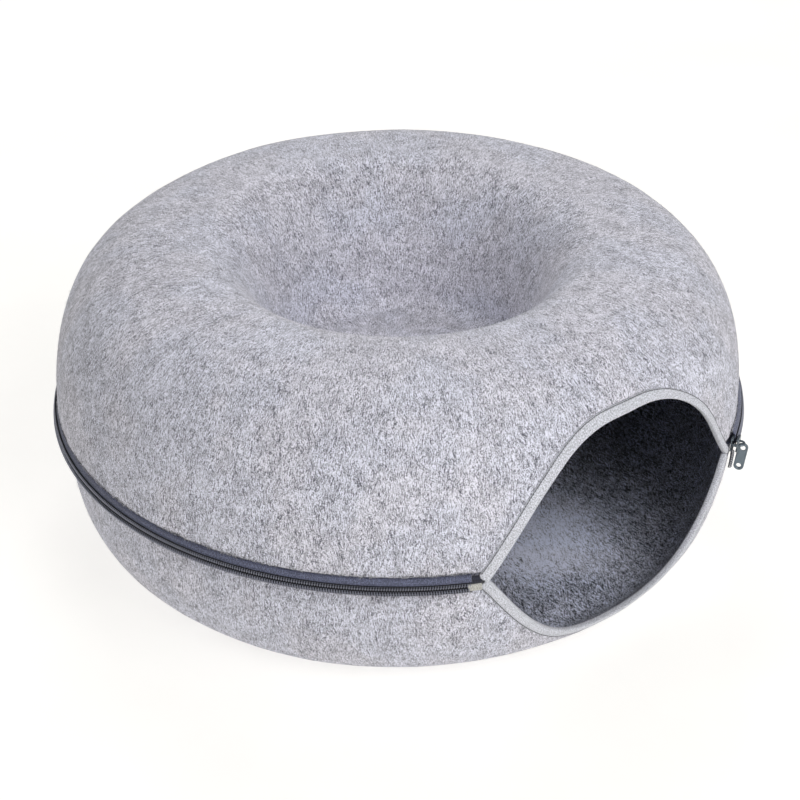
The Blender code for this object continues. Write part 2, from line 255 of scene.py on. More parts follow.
class Wall:
    """A turned outer wall, from its height and an offset outwards to its radius."""

    def __init__(self, upper):
        s = sizes()
        line = upper_line(0.0) if upper else lower_line(0.0)
        keep = line[:, 0] > s.crown_radius if upper else line[:, 1] > 0.5 * MM
        self.line = line[keep]
        self.normals = normals_of(self.line)

    def radius(self, height, lift):
        moved = self.line + self.normals * lift
        order = np.argsort(moved[:, 1])
        return np.interp(height, moved[order, 1], moved[order, 0])


def spots(radius, turn, height):
    """Points at an angle from the doorway's middle, which faces -Y; it grows towards +X."""
    return np.stack(
        np.broadcast_arrays(radius * np.sin(turn), -radius * np.cos(turn), height), axis=-1
    )


def arc_at(turn):
    """Arc along the zip from the doorway's middle, negative on its left."""
    return ((turn + math.pi) % TURN - math.pi) * sizes().zip_radius


def bell(value, middle, reach):
    """A soft bump of 1 at the middle that dies away over about this reach."""
    return np.exp(-(((value - middle) / reach) ** 2))


def sprung(points, part):
    """Moves points in or out round the open corner on the right, where the zip lets go.

    Angles are in degrees, and pushes and heights over the zip in millimetres.
    """
    s = sizes()
    points = np.array(points, float)
    turn = np.degrees(np.arctan2(points[..., 0], -points[..., 1]))
    over = (points[..., 2] - s.zip_height) / MM
    side = bell(turn, 60, 24)
    if part == "lower":
        push = 3.7 * bell(turn, DOOR_RIGHT, 14) * bell(np.minimum(over, 0), 0, 50)
    elif part == "upper":
        push = -4.0 * bell(turn, 25, 8) * np.sin(math.pi * np.clip(over / 90, 0, 1))
        push -= 3.0 * side * bell(over, 0, 50)
    elif part == "coil":
        push = 1.5 * side
    else:
        near = np.clip(1.7 - np.abs(over) / 7, 0, 1)
        push = side * (2.6 * near - 3.0 * (1 - near) * (over > 0))
    radius = np.maximum(np.hypot(points[..., 0], points[..., 1]), 1 * MM)
    return points * np.stack([1 + push * MM / radius] * 2 + [np.ones(push.shape)], axis=-1)


# ---------------------------------------------------------------- the doorway


def door_half(arc, left=DOOR_LEFT, right=DOOR_RIGHT):
    """Arc from the doorway's middle to its end on this side."""
    return np.where(arc > 0, math.radians(right), math.radians(left)) * sizes().zip_radius


def arch_rise(arc, rise, shape):
    """Height over the zip of an arch at this arc from the doorway's middle."""
    share = np.clip(np.abs(arc) / door_half(arc), 0, 1)
    left, right = ((1 - share**bend) ** fall for bend, fall in shape)
    return rise * np.where(arc > 0, right, left)


def arch_path(rise, shape, count):
    """Points (arc, height over the zip) along an arch, and the way out of the opening there."""
    share = np.sin(np.linspace(-math.pi / 2, math.pi / 2, 4001))
    arc = share * door_half(share)
    points, places = evenly(np.column_stack([arc, arch_rise(arc, rise, shape)]), count)
    return points, normals_of(points) * math.copysign(1, rise), places


def arch_of(upper):
    """Rise and shape of one half's arch; the lower one's rise is downwards."""
    s = sizes()
    return (s.arch_rise, ARCH_SHAPE) if upper else (-s.lip_drop, LIP_SHAPE)


# ---------------------------------------------------------------- meshes


def linked(name, data):
    """A new object in the scene."""
    obj = bpy.data.objects.new(name, data)
    bpy.context.scene.collection.objects.link(obj)
    return obj


def mesh_object(name, points, faces, materials, uv=None):
    """A smooth mesh piece that rides on the bed."""
    mesh = bpy.data.meshes.new(name)
    faces = faces.tolist() if isinstance(faces, np.ndarray) else faces
    mesh.from_pydata(np.asarray(points).tolist(), [], faces)
    for material in materials:
        mesh.materials.append(material)
    mesh.polygons.foreach_set("use_smooth", np.ones(len(mesh.polygons), bool))
    if uv is not None:
        layer = mesh.uv_layers.new(name="flat")
        corner = np.zeros(len(mesh.loops), np.int32)
        mesh.loops.foreach_get("vertex_index", corner)
        layer.data.foreach_set("uv", np.asarray(uv, np.float32)[corner].ravel())
    mesh.validate()
    mesh.update()
    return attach(linked(name, mesh), BODY)


def grid_faces(rows, columns, close_columns=False):
    """Quads of a grid of points stored row by row."""
    row = np.arange(rows - 1)[:, None]
    column = np.arange(columns if close_columns else columns - 1)[None, :]
    after = (column + 1) % columns
    corners = (row * columns + column, row * columns + after,
               (row + 1) * columns + after, (row + 1) * columns + column)
    return np.stack(np.broadcast_arrays(*corners), axis=-1).reshape(-1, 4)


def tubes(paths, radii, sides, ends=True):
    """Points and faces of many tubes of equal make: paths is (tube, point, 3), radii fits it."""
    count, steps, _ = paths.shape
    along = np.gradient(paths, axis=1)
    along /= np.linalg.norm(along, axis=2, keepdims=True)
    side = np.cross(along, np.array([0.31, 0.17, 0.94]))
    side /= np.linalg.norm(side, axis=2, keepdims=True)
    up = np.cross(side, along)
    turn = np.arange(sides) * TURN / sides
    ring = (
        side[:, :, None, :] * np.cos(turn)[None, None, :, None]
        + up[:, :, None, :] * np.sin(turn)[None, None, :, None]
    )
    radii = np.broadcast_to(radii, (count, steps))[:, :, None, None]
    points = (paths[:, :, None, :] + ring * radii).reshape(-1, 3)
    one = grid_faces(steps, sides, True)
    faces = (one[None] + (np.arange(count) * steps * sides)[:, None, None]).reshape(-1, 4)
    faces = faces.tolist()
    if ends:
        for tube in range(count):
            start = tube * steps * sides
            faces.append([start + k for k in range(sides)][::-1])
            faces.append([start + (steps - 1) * sides + k for k in range(sides)])
    return points, faces


def tube_piece(name, paths, radii, sides, material, ends=True, flat=False):
    """A piece made of tubes, which flat lays out as seen from the front."""
    points, faces = tubes(paths, radii, sides, ends)
    return mesh_object(name, points, faces, [material], points[:, [0, 2]] if flat else None)


def edit_mesh(mesh, tool):
    """Opens a mesh for one of Blender's mesh tools and writes it back."""
    shape = bmesh.new()
    shape.from_mesh(mesh)
    tool(shape)
    shape.to_mesh(mesh)
    shape.free()


def swell(points, seed, reach, size):
    """A smooth uneven number at each point, from about -size to size, over about this reach."""
    rng = np.random.default_rng(seed)
    total = np.zeros(len(points))
    for _ in range(14):
        wave = rng.normal(size=3)
        wave *= TURN / reach / np.linalg.norm(wave) * rng.uniform(0.6, 1.4)
        total += np.cos(points @ wave + rng.uniform(0, TURN))
    return total * size / 5


# ---------------------------------------------------------------- materials


class Nodes:
    """Adds nodes to a new material and links them."""

    def __init__(self, name, **shader):
        self.material = bpy.data.materials.new(name)
        self.material.use_nodes = True
        self.tree = self.material.node_tree
        self.shader = self.tree.nodes["Principled BSDF"]
        for socket, value in shader.items():
            self.shader.inputs[socket.replace("_", " ")].default_value = value

    def add(self, kind, inputs=(), **settings):
        node = self.tree.nodes.new("ShaderNode" + kind)
        for setting, value in settings.items():
            setattr(node, setting, value)
        for socket, value in dict(inputs).items():
            if isinstance(value, bpy.types.NodeSocket):
                self.tree.links.new(value, node.inputs[socket])
            else:
                node.inputs[socket].default_value = value
        return node

    def math(self, operation, *values, clamp=False):
        node = self.add("Math", enumerate(values), operation=operation, use_clamp=clamp)
        return node.outputs[0]

    def noise(self, vector, scale, detail=2.0, flat=True, **inputs):
        sockets = {"Vector": vector, "Scale": scale, "Detail": detail, **inputs}
        kind = "2D" if flat else "3D"
        return self.add("TexNoise", sockets, noise_dimensions=kind).outputs["Fac"]

    def smooth(self, value, low, high, to_low=0.0, to_high=1.0):
        sockets = {"Value": value, "From Min": low, "From Max": high,
                   "To Min": to_low, "To Max": to_high}
        return self.add("MapRange", sockets, interpolation_type="SMOOTHSTEP").outputs[0]

    def mix(self, share, first, second):
        """A colour between two, each of them three numbers or another node's colour."""
        ends = [value if isinstance(value, bpy.types.NodeSocket) else (*value, 1.0)
                for value in (first, second)]
        node = self.add("Mix", {0: share}, data_type="RGBA")
        for index, value in zip((6, 7), ends):
            if isinstance(value, tuple):
                node.inputs[index].default_value = value
            else:
                self.tree.links.new(value, node.inputs[index])
        return node.outputs[2]

    def vary(self, total, noise, amount, clamp=False):
        """The total plus a noise, as far as that lies from its middle, times the amount."""
        off = self.math("SUBTRACT", noise, 0.5)
        return self.math("MULTIPLY_ADD", off, amount, total, clamp=clamp)

    def wave(self, value, long):
        """A sine wave of this length."""
        return self.math("SINE", self.math("MULTIPLY", value, TURN / long))

    def set(self, socket, value):
        self.tree.links.new(value, self.shader.inputs[socket])

    def bump(self, height, distance, strength=1.0):
        sockets = {"Height": height, "Distance": distance, "Strength": strength}
        self.set("Normal", self.add("Bump", sockets).outputs[0])

    def flat_sheet(self):
        """Where a point lay in the flat cloth, and that place's two numbers."""
        flat = self.add("UVMap", uv_map="flat").outputs[0]
        return flat, *self.add("SeparateXYZ", {0: flat}).outputs[:2]

    def scaled(self, vector, factor):
        return self.add("VectorMath", {0: vector, "Scale": factor}, operation="SCALE").outputs[0]

    def tint(self, body, lit, *more):
        """Sets the surface's colour: the body colour, made lighter and darker."""
        for other in more:
            lit = self.math("MULTIPLY", lit, other)
        self.set("Base Color", self.scaled(tuple(body), lit))


def drawn_lay(n, place, long, thick):
    """Fibres that run up the wall, over the crown and down the funnel, as moulding drew them.

    Their thickness grows with the radius, so the funnel and the wall have a set each.
    """
    x, y, z = n.add("SeparateXYZ", {0: place}).outputs
    across = n.math("ADD", n.math("MULTIPLY", x, x), n.math("MULTIPLY", y, y))
    radius = n.math("SQRT", across)
    sets = []
    for middle in (120 * MM, 218 * MM):
        share = n.math("DIVIDE", middle / thick, radius)
        sockets = {0: n.math("MULTIPLY", x, share), 1: n.math("MULTIPLY", y, share),
                   2: n.math("DIVIDE", radius, long)}
        round_bed = n.add("CombineXYZ", sockets).outputs[0]
        sockets = {"Vector": round_bed, "W": n.math("DIVIDE", z, long), "Scale": 1.0,
                   "Detail": 1.0}
        sets.append(n.add("TexNoise", sockets, noise_dimensions="4D").outputs["Fac"])
    inner, outer = sets
    share = n.smooth(radius, 150 * MM, 195 * MM)
    return n.math("MULTIPLY_ADD", n.math("SUBTRACT", outer, inner), share, inner)


def felt_material(name, light, dark, lays, bundle, level, depth, contrast, sheen,
                  drawn=0, painted_light=0):
    """Needle felt: crossing lays of pale and dark fibres, gathered into soft clumps.

    bundle is the length and thickness of a bunch of fibres, level the share of pale ones and
    depth their relief. drawn is the weight of the fibres that follow the moulding, and the last
    argument how much paler the lining is painted just inside the doorway, a painted pool of the
    light that falls in there.
    """
    n = Nodes(name, Roughness=0.94, Specular_IOR_Level=0.18, Sheen_Weight=sheen,
              Sheen_Roughness=0.45)
    place = n.add("TexCoord").outputs["Object"]
    # the lays wander a little
    swirl = n.add("TexNoise", {"Vector": place, "Scale": 70.0, "Detail": 1.0}).outputs["Color"]
    off = n.add("VectorMath", {0: swirl, 1: (0.5, 0.5, 0.5)}, operation="SUBTRACT").outputs[0]
    flow = n.add("VectorMath", {0: place, 1: n.scaled(off, 7 * MM)}).outputs[0]
    mottle = n.noise(place, 90.0, 2.0, False, Roughness=0.6)
    cloud = n.noise(place, 24.0, 1.0, False)
    total = n.vary(n.vary(level, mottle, 0.6), cloud, 0.18)
    knots = n.smooth(mottle, 0.62, 0.38, 0.15, 1.0)
    long, thick = bundle
    # each lay's fibres, how far they carry the share of pale ones, and their dark knots
    streaks = []
    for number, (azimuth, tilt) in enumerate(lays):
        sockets = {"Vector": flow, "Location": (number * 0.37, number * 0.19, 0),
                   "Rotation": (0, math.radians(-tilt), math.radians(azimuth)),
                   "Scale": (long, thick, thick)}
        lay = n.add("Mapping", sockets, vector_type="TEXTURE").outputs[0]
        streaks.append((n.noise(lay, 1.0, 1.0, False), 1.3 * contrast, 0.64, 0.55 * contrast))
    if drawn:
        streaks.append((drawn_lay(n, flow, 3.8 * MM, 0.56 * MM), drawn, 0.62, 0.4))
    relief = 0.0
    for streak, amount, low, dark_knots in streaks:
        total = n.vary(total, streak, amount)
        shade = n.math("MULTIPLY", n.smooth(streak, low, 0.74, 0.0, dark_knots), knots)
        total = n.math("SUBTRACT", total, shade)
        relief = n.math("ADD", relief, streak)
    # painted light: the lining is made paler round a spot just inside the doorway, where the lamps'
    # light falls in
    if painted_light:
        gap = n.add("VectorMath", {0: place, 1: PAINTED_LIGHT_SPOT}, operation="DISTANCE")
        total = n.math("ADD", total, n.smooth(gap.outputs["Value"], *PAINTED_LIGHT_REACH, painted_light, 0))
    # single fibre ends
    grain = n.noise(flow, 1 / (0.85 * MM), 2.0, False, Roughness=0.8)
    total = n.vary(total, grain, 3.1, clamp=True)
    patch = n.smooth(n.noise(place, 17.0, 2.0, False), 0.4, 0.6)
    pale = n.mix(patch, [c * f for c, f in zip(light, (1.0, 0.995, 0.985))],
                 [c * f for c, f in zip(light, (0.985, 1.0, 1.01))])
    n.set("Base Color", n.mix(total, dark, pale))
    n.bump(n.math("ADD", relief, grain), depth, 0.9)
    return n.material


def ribbon_material(name, body, thread_size, relief, dots=0.16):
    """A plain woven ribbon: warp along it and weft across."""
    n = Nodes(name, Roughness=0.85, Specular_IOR_Level=0.2, Sheen_Weight=0.25,
              Sheen_Roughness=0.5)
    flat, along, across = n.flat_sheet()
    weave = n.math("MULTIPLY", n.wave(along, thread_size), n.wave(across, thread_size))
    fuzz = n.noise(flat, 1050.0, 2.0, Roughness=0.7)
    wear = n.noise(flat, 120.0, 3.0, Roughness=0.6)
    lit = n.math("MULTIPLY_ADD", weave, dots, 1.0)
    n.tint(body, lit, n.smooth(fuzz, 0.36, 0.64, 0.62, 1.30), n.smooth(wear, 0.3, 0.7, 0.95, 1.04))
    n.bump(n.math("ADD", weave, fuzz), relief)
    return n.material


def tape_material(name, body):
    """Herringbone zip tape: slanting ribs that turn back in rows along the tape."""
    n = Nodes(name, Roughness=0.72, Specular_IOR_Level=0.3, Sheen_Weight=0.35,
              Sheen_Roughness=0.4)
    flat, along, across = n.flat_sheet()
    row = n.math("PINGPONG", across, 2.2 * MM)
    rib = n.wave(n.math("ADD", along, n.math("MULTIPLY", row, 0.9)), 1.5 * MM)
    cloth = n.math("ADD", rib, n.math("MULTIPLY", n.wave(across, 0.55 * MM), 0.35))
    fuzz = n.noise(flat, 950.0, 2.0, Roughness=0.7)
    wear = n.noise(flat, 90.0, 3.0)
    lit = n.math("MULTIPLY_ADD", cloth, 0.30, 1.0)
    n.tint(body, lit, n.smooth(fuzz, 0.36, 0.64, 0.50, 1.50), n.smooth(wear, 0.3, 0.7, 0.92, 1.08))
    n.bump(cloth, 0.16 * MM)
    return n.material


def grained_material(name, body, roughness, metallic, grain, scale, depth):
    """A plain finish with a fine grain in its colour and gloss."""
    n = Nodes(name, Metallic=metallic)
    place = n.add("TexCoord").outputs["Object"]
    speck = n.noise(place, scale, 4.0, False, Roughness=0.6)
    worn = n.noise(place, scale / 9, 3.0, False)
    n.tint(body, n.smooth(speck, 0.3, 0.7, 1 - grain, 1 + grain),
           n.smooth(worn, 0.3, 0.7, 0.94, 1.06))
    n.set("Roughness", n.smooth(speck, 0.3, 0.7, roughness * 0.85, roughness * 1.2))
    n.bump(speck, depth)
    return n.material


# ---------------------------------------------------------------- the felt shells


def shell_points(line, places, flat, turns):
    """A turned grid of points, with where each one lay in the flat felt before moulding."""
    turn = np.arange(turns) * TURN / turns
    points = spots(line[:, 0][:, None], turn[None, :], line[:, 1][:, None])
    blank = np.interp(places, *flat)
    uv = np.stack([blank[:, None] * np.cos(turn), blank[:, None] * np.sin(turn)], axis=-1)
    return points, uv, turn


def cut_doorway(points, line, turn, faces, upper):
    """Drops the faces inside the doorway and draws the edge points onto its outline."""
    s = sizes()
    rise, shape = arch_of(upper)
    sign = math.copysign(1, rise)
    edge = s.upper_edge if upper else s.lower_edge
    wall = Wall(upper)
    arcs, heights = np.meshgrid(arc_at(turn), line[:, 1] - s.zip_height)
    outer = line[:, 0] > (s.crown_radius if upper else 0.8 * s.base_radius)
    inside = (heights * sign < np.abs(arch_rise(arcs, rise, shape))) & outer[:, None]
    inside &= np.abs(arcs) < door_half(arcs)
    inside = inside.ravel()
    outline, _, _ = arch_path(rise, shape, 3000)
    moved = np.nonzero(inside)[0]
    mine = np.column_stack([arcs.ravel()[moved], heights.ravel()[moved]])
    used = np.zeros(len(inside), bool)
    kept = faces[~inside[faces].all(axis=1)]
    used[kept.ravel()] = True
    flat_points = points.reshape(-1, 3)
    for index, spot in zip(moved, mine):
        if used[index]:
            near = outline[np.argmin(((outline - spot) ** 2).sum(axis=1))]
            height = s.zip_height + sign * max(near[1] * sign, edge)
            radius = wall.radius(height, 0.0)
            flat_points[index] = spots(radius, near[0] / s.zip_radius, height)
    return flat_points, kept


def uneven_felt(points, out, upper):
    """The points with the waves of soft felt, calm at the doorway, the base and the pole."""
    uneven = swell(points, 11 if upper else 12, 0.16, 0.55 * MM)
    uneven += swell(points, 21 if upper else 22, 0.05, 0.16 * MM)
    # the felt swells where the binding ends and is pressed in under it
    gap = door_gap(points, upper) - sizes().binding_width
    uneven *= np.clip(gap / (20 * MM), 0, 1)
    uneven += 0.45 * MM * bell(gap, 4.5 * MM, 3.5 * MM) - 0.35 * MM * bell(gap, -1 * MM, 3 * MM)
    if not upper:
        # the base only dents upwards, and the dish is calm where it turns into it
        dented = np.minimum(uneven - base_crease(points), 0)
        calmed = uneven * np.clip(points[:, 2] / (12 * MM), 0, 1)
        uneven = np.where(points[:, 2] < 1 * MM, dented, calmed)
    radius = np.hypot(points[:, 0], points[:, 1])
    points = points + out * (uneven * np.clip(radius / 0.03, 0, 1))[:, None]
    return np.where(radius[:, None] > 0.2, sprung(points, HALVES[upper]), points)


def closed_pole(faces, rows, turns, upper):
    """The faces with the row of points on the axis made one point, and a fan round it."""
    pole = (0 if upper else rows - 1) * turns
    around = (1 if upper else rows - 2) * turns + np.arange(turns)
    after = np.roll(around, -1)
    quads = faces[~np.isin(faces, np.arange(pole, pole + turns)).any(axis=1)]
    fan = [np.full(turns, pole), around, after] if upper else [np.full(turns, pole), after, around]
    return quads.tolist() + np.column_stack(fan).tolist()


def build_shell(name, node, upper, spacing, materials):
    """One half's felt: a turned grid, cut, made uneven, sprung and thickened inwards."""
    s = sizes()
    line, places = resampled(outer_line(upper), spacing)
    far = places[-1]
    # metres along the outline, and from the middle of the flat blank before it was moulded
    if upper:
        flat = ([0, 0.085, 0.24, 0.30, far], [0, 0.085, 0.180, 0.232, UPPER_BLANK])
    else:
        flat = ([0, far - 0.235, far], [0.345, 0.232, 0.0])
    points, uv, turn = shell_points(line, places, flat, FELT_TURNS)
    faces = grid_faces(len(line), FELT_TURNS, True)[:, ::-1]
    points, faces = cut_doorway(points, line, turn, faces, upper)
    normal = normals_of(line)
    out = spots(normal[:, 0][:, None], turn[None, :], normal[:, 1][:, None]).reshape(-1, 3)
    points = uneven_felt(points, out, upper)
    faces = closed_pole(faces, len(line), FELT_TURNS, upper)
    keep = np.unique(np.concatenate(faces))
    index = np.full(len(points), -1)
    index[keep] = np.arange(len(keep))
    faces = [[int(index[v]) for v in face] for face in faces]
    obj = mesh_object(name, points[keep], faces, materials, uv.reshape(-1, 2)[keep])
    edit_mesh(obj.data, lambda shape: bmesh.ops.dissolve_degenerate(
        shape, dist=0.05 * MM, edges=shape.edges))
    solid = obj.modifiers.new("Felt", "SOLIDIFY")
    solid.thickness = s.felt
    solid.offset = -1
    solid.use_even_offset = True
    solid.vertex_group = pressed_group(obj, upper)
    solid.material_offset = 1
    solid.material_offset_rim = 0
    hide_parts(node)
    return obj


def door_gap(points, upper):
    """How far each point lies from the doorway's outline, up to its reach."""
    s = sizes()
    turn = np.arctan2(points[:, 0], -points[:, 1])
    outline, _, _ = arch_path(*arch_of(upper), 400)
    gap = np.full(len(points), DOOR_REACH)
    mine = np.nonzero((np.abs(turn) < 0.7) & (np.hypot(points[:, 0], points[:, 1]) > 0.18))[0]
    spot = np.column_stack([turn[mine] * s.zip_radius, points[mine, 2] - s.zip_height])
    gap[mine] = np.sqrt(((spot[:, None] - outline[None]) ** 2).sum(axis=2).min(axis=1))
    return np.minimum(gap, DOOR_REACH)


def pressed_group(obj, upper):
    """Names a group that thins the felt where the binding presses its edge together."""
    points = np.zeros(len(obj.data.vertices) * 3, np.float32)
    obj.data.vertices.foreach_get("co", points)
    near = np.clip(door_gap(points.reshape(-1, 3), upper) / (14 * MM), 0, 1)
    group = obj.vertex_groups.new(name="pressed")
    weight = np.round(PRESSED + (1 - PRESSED) * near, 2)
    for value in np.unique(weight):
        group.add(np.nonzero(weight == value)[0].tolist(), float(value), "REPLACE")
    return group.name


def base_crease(points):
    """A short shallow fold pressed into the dish where it was packed."""
    turn = np.arctan2(points[:, 0], -points[:, 1])
    radius = np.hypot(points[:, 0], points[:, 1])
    line = 222 * MM + 6 * MM * np.cos(turn * 9)
    across = (radius - line) / (5 * MM)
    along = (turn - math.radians(4)) / math.radians(9)
    return 1.2 * MM * np.exp(-across**2 - along**4)


# ---------------------------------------------------------------- operators


class CATBED_OT_felt(bpy.types.Operator):
    """Moulds the two felt halves, with the doorway cut out of both"""

    bl_idname = "catbed.felt"
    bl_label = "Felt Shells"

    def execute(self, context):
        c = colours()
        outside = felt_material(
            "pale_felt", c.felt_light, c.felt_dark, FELT_LAYS, (3.1 * MM, 0.72 * MM),
            level=0.62, depth=0.30 * MM, contrast=0.95, sheen=0.25, drawn=2.3,
        )
        inside = felt_material(
            "charcoal_felt", c.lining_light, c.lining_dark, LINING_LAYS, (8.5 * MM, 0.85 * MM),
            level=0.41, depth=0.45 * MM, contrast=1.45, sheen=0.15, painted_light=0.62,
        )
        upper = build_shell("felt_upper", "upper_shell", True, 4 * MM, [outside, inside])
        lower = build_shell("felt_lower", "lower_shell", False, 4.5 * MM, [outside, inside])
        return {"FINISHED"}


class CATBED_OT_fibres(bpy.types.Operator):
    """Stands sparse loose fibres off the felt and along its raw edges by the zip"""

    bl_idname = "catbed.fibres"
    bl_label = "Loose Fibres"

    def execute(self, context):
        count = sizes().fibres * 1
        c = colours()
        fibre = grained_material("loose_fibre", c.fibre, 0.85, 0.0, 0.25, 900, 0)
        # near-black fibres at the raw edges: partly the felt's dark fibres, partly painted shadow
        # along the ragged edge by the zip
        dark = grained_material("dark_fibre", [v * 0.4 for v in c.felt_dark], 0.9, 0.0, 0.3, 900, 0)
        for upper, face, edge in ((True, 0.5, 0.36), (False, 0.25, 0.24)):
            half = HALVES[upper]
            self.face("fuzz_" + half, upper, int(count * face), fibre)
            self.edge("fray_" + half, upper, int(count * edge), fibre, 7)
            self.edge("fray_" + half + "_dark", upper, int(count * edge * 0.9), dark, 17)
        return {"FINISHED"}

    def face(self, name, upper, count, fibre):
        """Fibres all over the felt, except round the doorway."""
        s = sizes()
        line, _ = resampled(outer_line(upper), 1 * MM)
        if not upper:
            line = line[line[:, 1] > 2 * MM]
        normal = normals_of(line)
        rng = np.random.default_rng(5 if upper else 6)
        row = rng.choice(len(line), count, p=line[:, 0] / line[:, 0].sum())
        turn = rng.uniform(0, TURN, count)
        arc = arc_at(turn)
        rise, shape = arch_of(upper)
        over = (line[row, 1] - s.zip_height) * math.copysign(1, rise)
        low = np.abs(arch_rise(arc, rise, shape)) + 12 * MM
        margin = door_half(arc) + 10 * MM
        door = (np.abs(arc) < margin) & (over < low) & (line[row, 0] > s.crown_radius)
        row, turn = row[~door], turn[~door]
        lay = rng.uniform(0, TURN, len(row))
        reach = rng.uniform(1.8, 4.6, len(row)) * MM
        lift = np.abs(rng.normal(0, 0.42, len(row))) * MM + 0.12 * MM
        wide = rng.uniform(0.035, 0.06, len(row)) * MM
        self.strands(name, line[row], normal[row], turn, lay, reach, lift, wide, rng, fibre)

    def edge(self, name, upper, count, fibre, seed):
        """Short fibres that reach from the cut edge over the tape."""
        line = outer_line(upper)
        end = line[-1:] if upper else line[:1]
        rng = np.random.default_rng(seed + (not upper))
        first, last = math.radians(SLIDER_ANGLE - 1.5), TURN - math.radians(ZIP_END)
        turn = rng.uniform(first, last, count)
        clump = swell(spots(0.3, turn, 0.0), seed, 0.006, 0.6) + 0.5
        lay = np.where(upper, 1, -1) * math.pi / 2 + rng.normal(0, 0.9, count)
        reach = rng.uniform(0.8, 3.0, count) * MM * np.clip(clump, 0.2, 1.6)
        lift = rng.uniform(0.1, 0.7, count) * MM
        wide = rng.uniform(0.08, 0.19, count) * MM
        if seed > 10:
            lay[::2] += math.pi
        ends = np.repeat(end, count, axis=0) + [0.1 * MM, 0.3 * MM if upper else -0.3 * MM]
        out = np.repeat([[1.0, 0.0]], count, axis=0)
        self.strands(name, ends, out, turn, lay, reach, lift, wide, rng, fibre)

    def strands(self, name, line, normal, turn, lay, reach, lift, wide, rng, fibre):
        """Curved tapering strands from points of an outline; a lay of a quarter turn runs down."""
        spot = spots(line[:, 0], turn, line[:, 1])
        out = spots(normal[:, 0], turn, normal[:, 1])
        side = spots(np.ones(len(turn)), turn + math.pi / 2, np.zeros(len(turn)))
        down = np.cross(side, out)
        down *= -np.sign(down[:, 2:] + 1e-9)
        ahead = side * np.cos(lay)[:, None] + down * np.sin(lay)[:, None]
        aside = np.cross(out, ahead)
        reach, lift = reach[:, None], lift[:, None]
        bend = rng.normal(0, 0.35, len(turn))[:, None]
        path = []
        for share, rise in ((0.0, -0.2), (0.34, 0.8), (0.68, 1.0), (1.0, 0.3)):
            sweep = ahead * reach * share + aside * reach * bend * share**2
            path.append(spot + sweep + out * lift * rise)
        path = sprung(np.stack(path, axis=1), name.split("_")[1])
        taper = np.array([[1, 1, 0.9, 0.5]])
        tube_piece(name, path, wide[:, None] * taper, 3, fibre, ends=False)


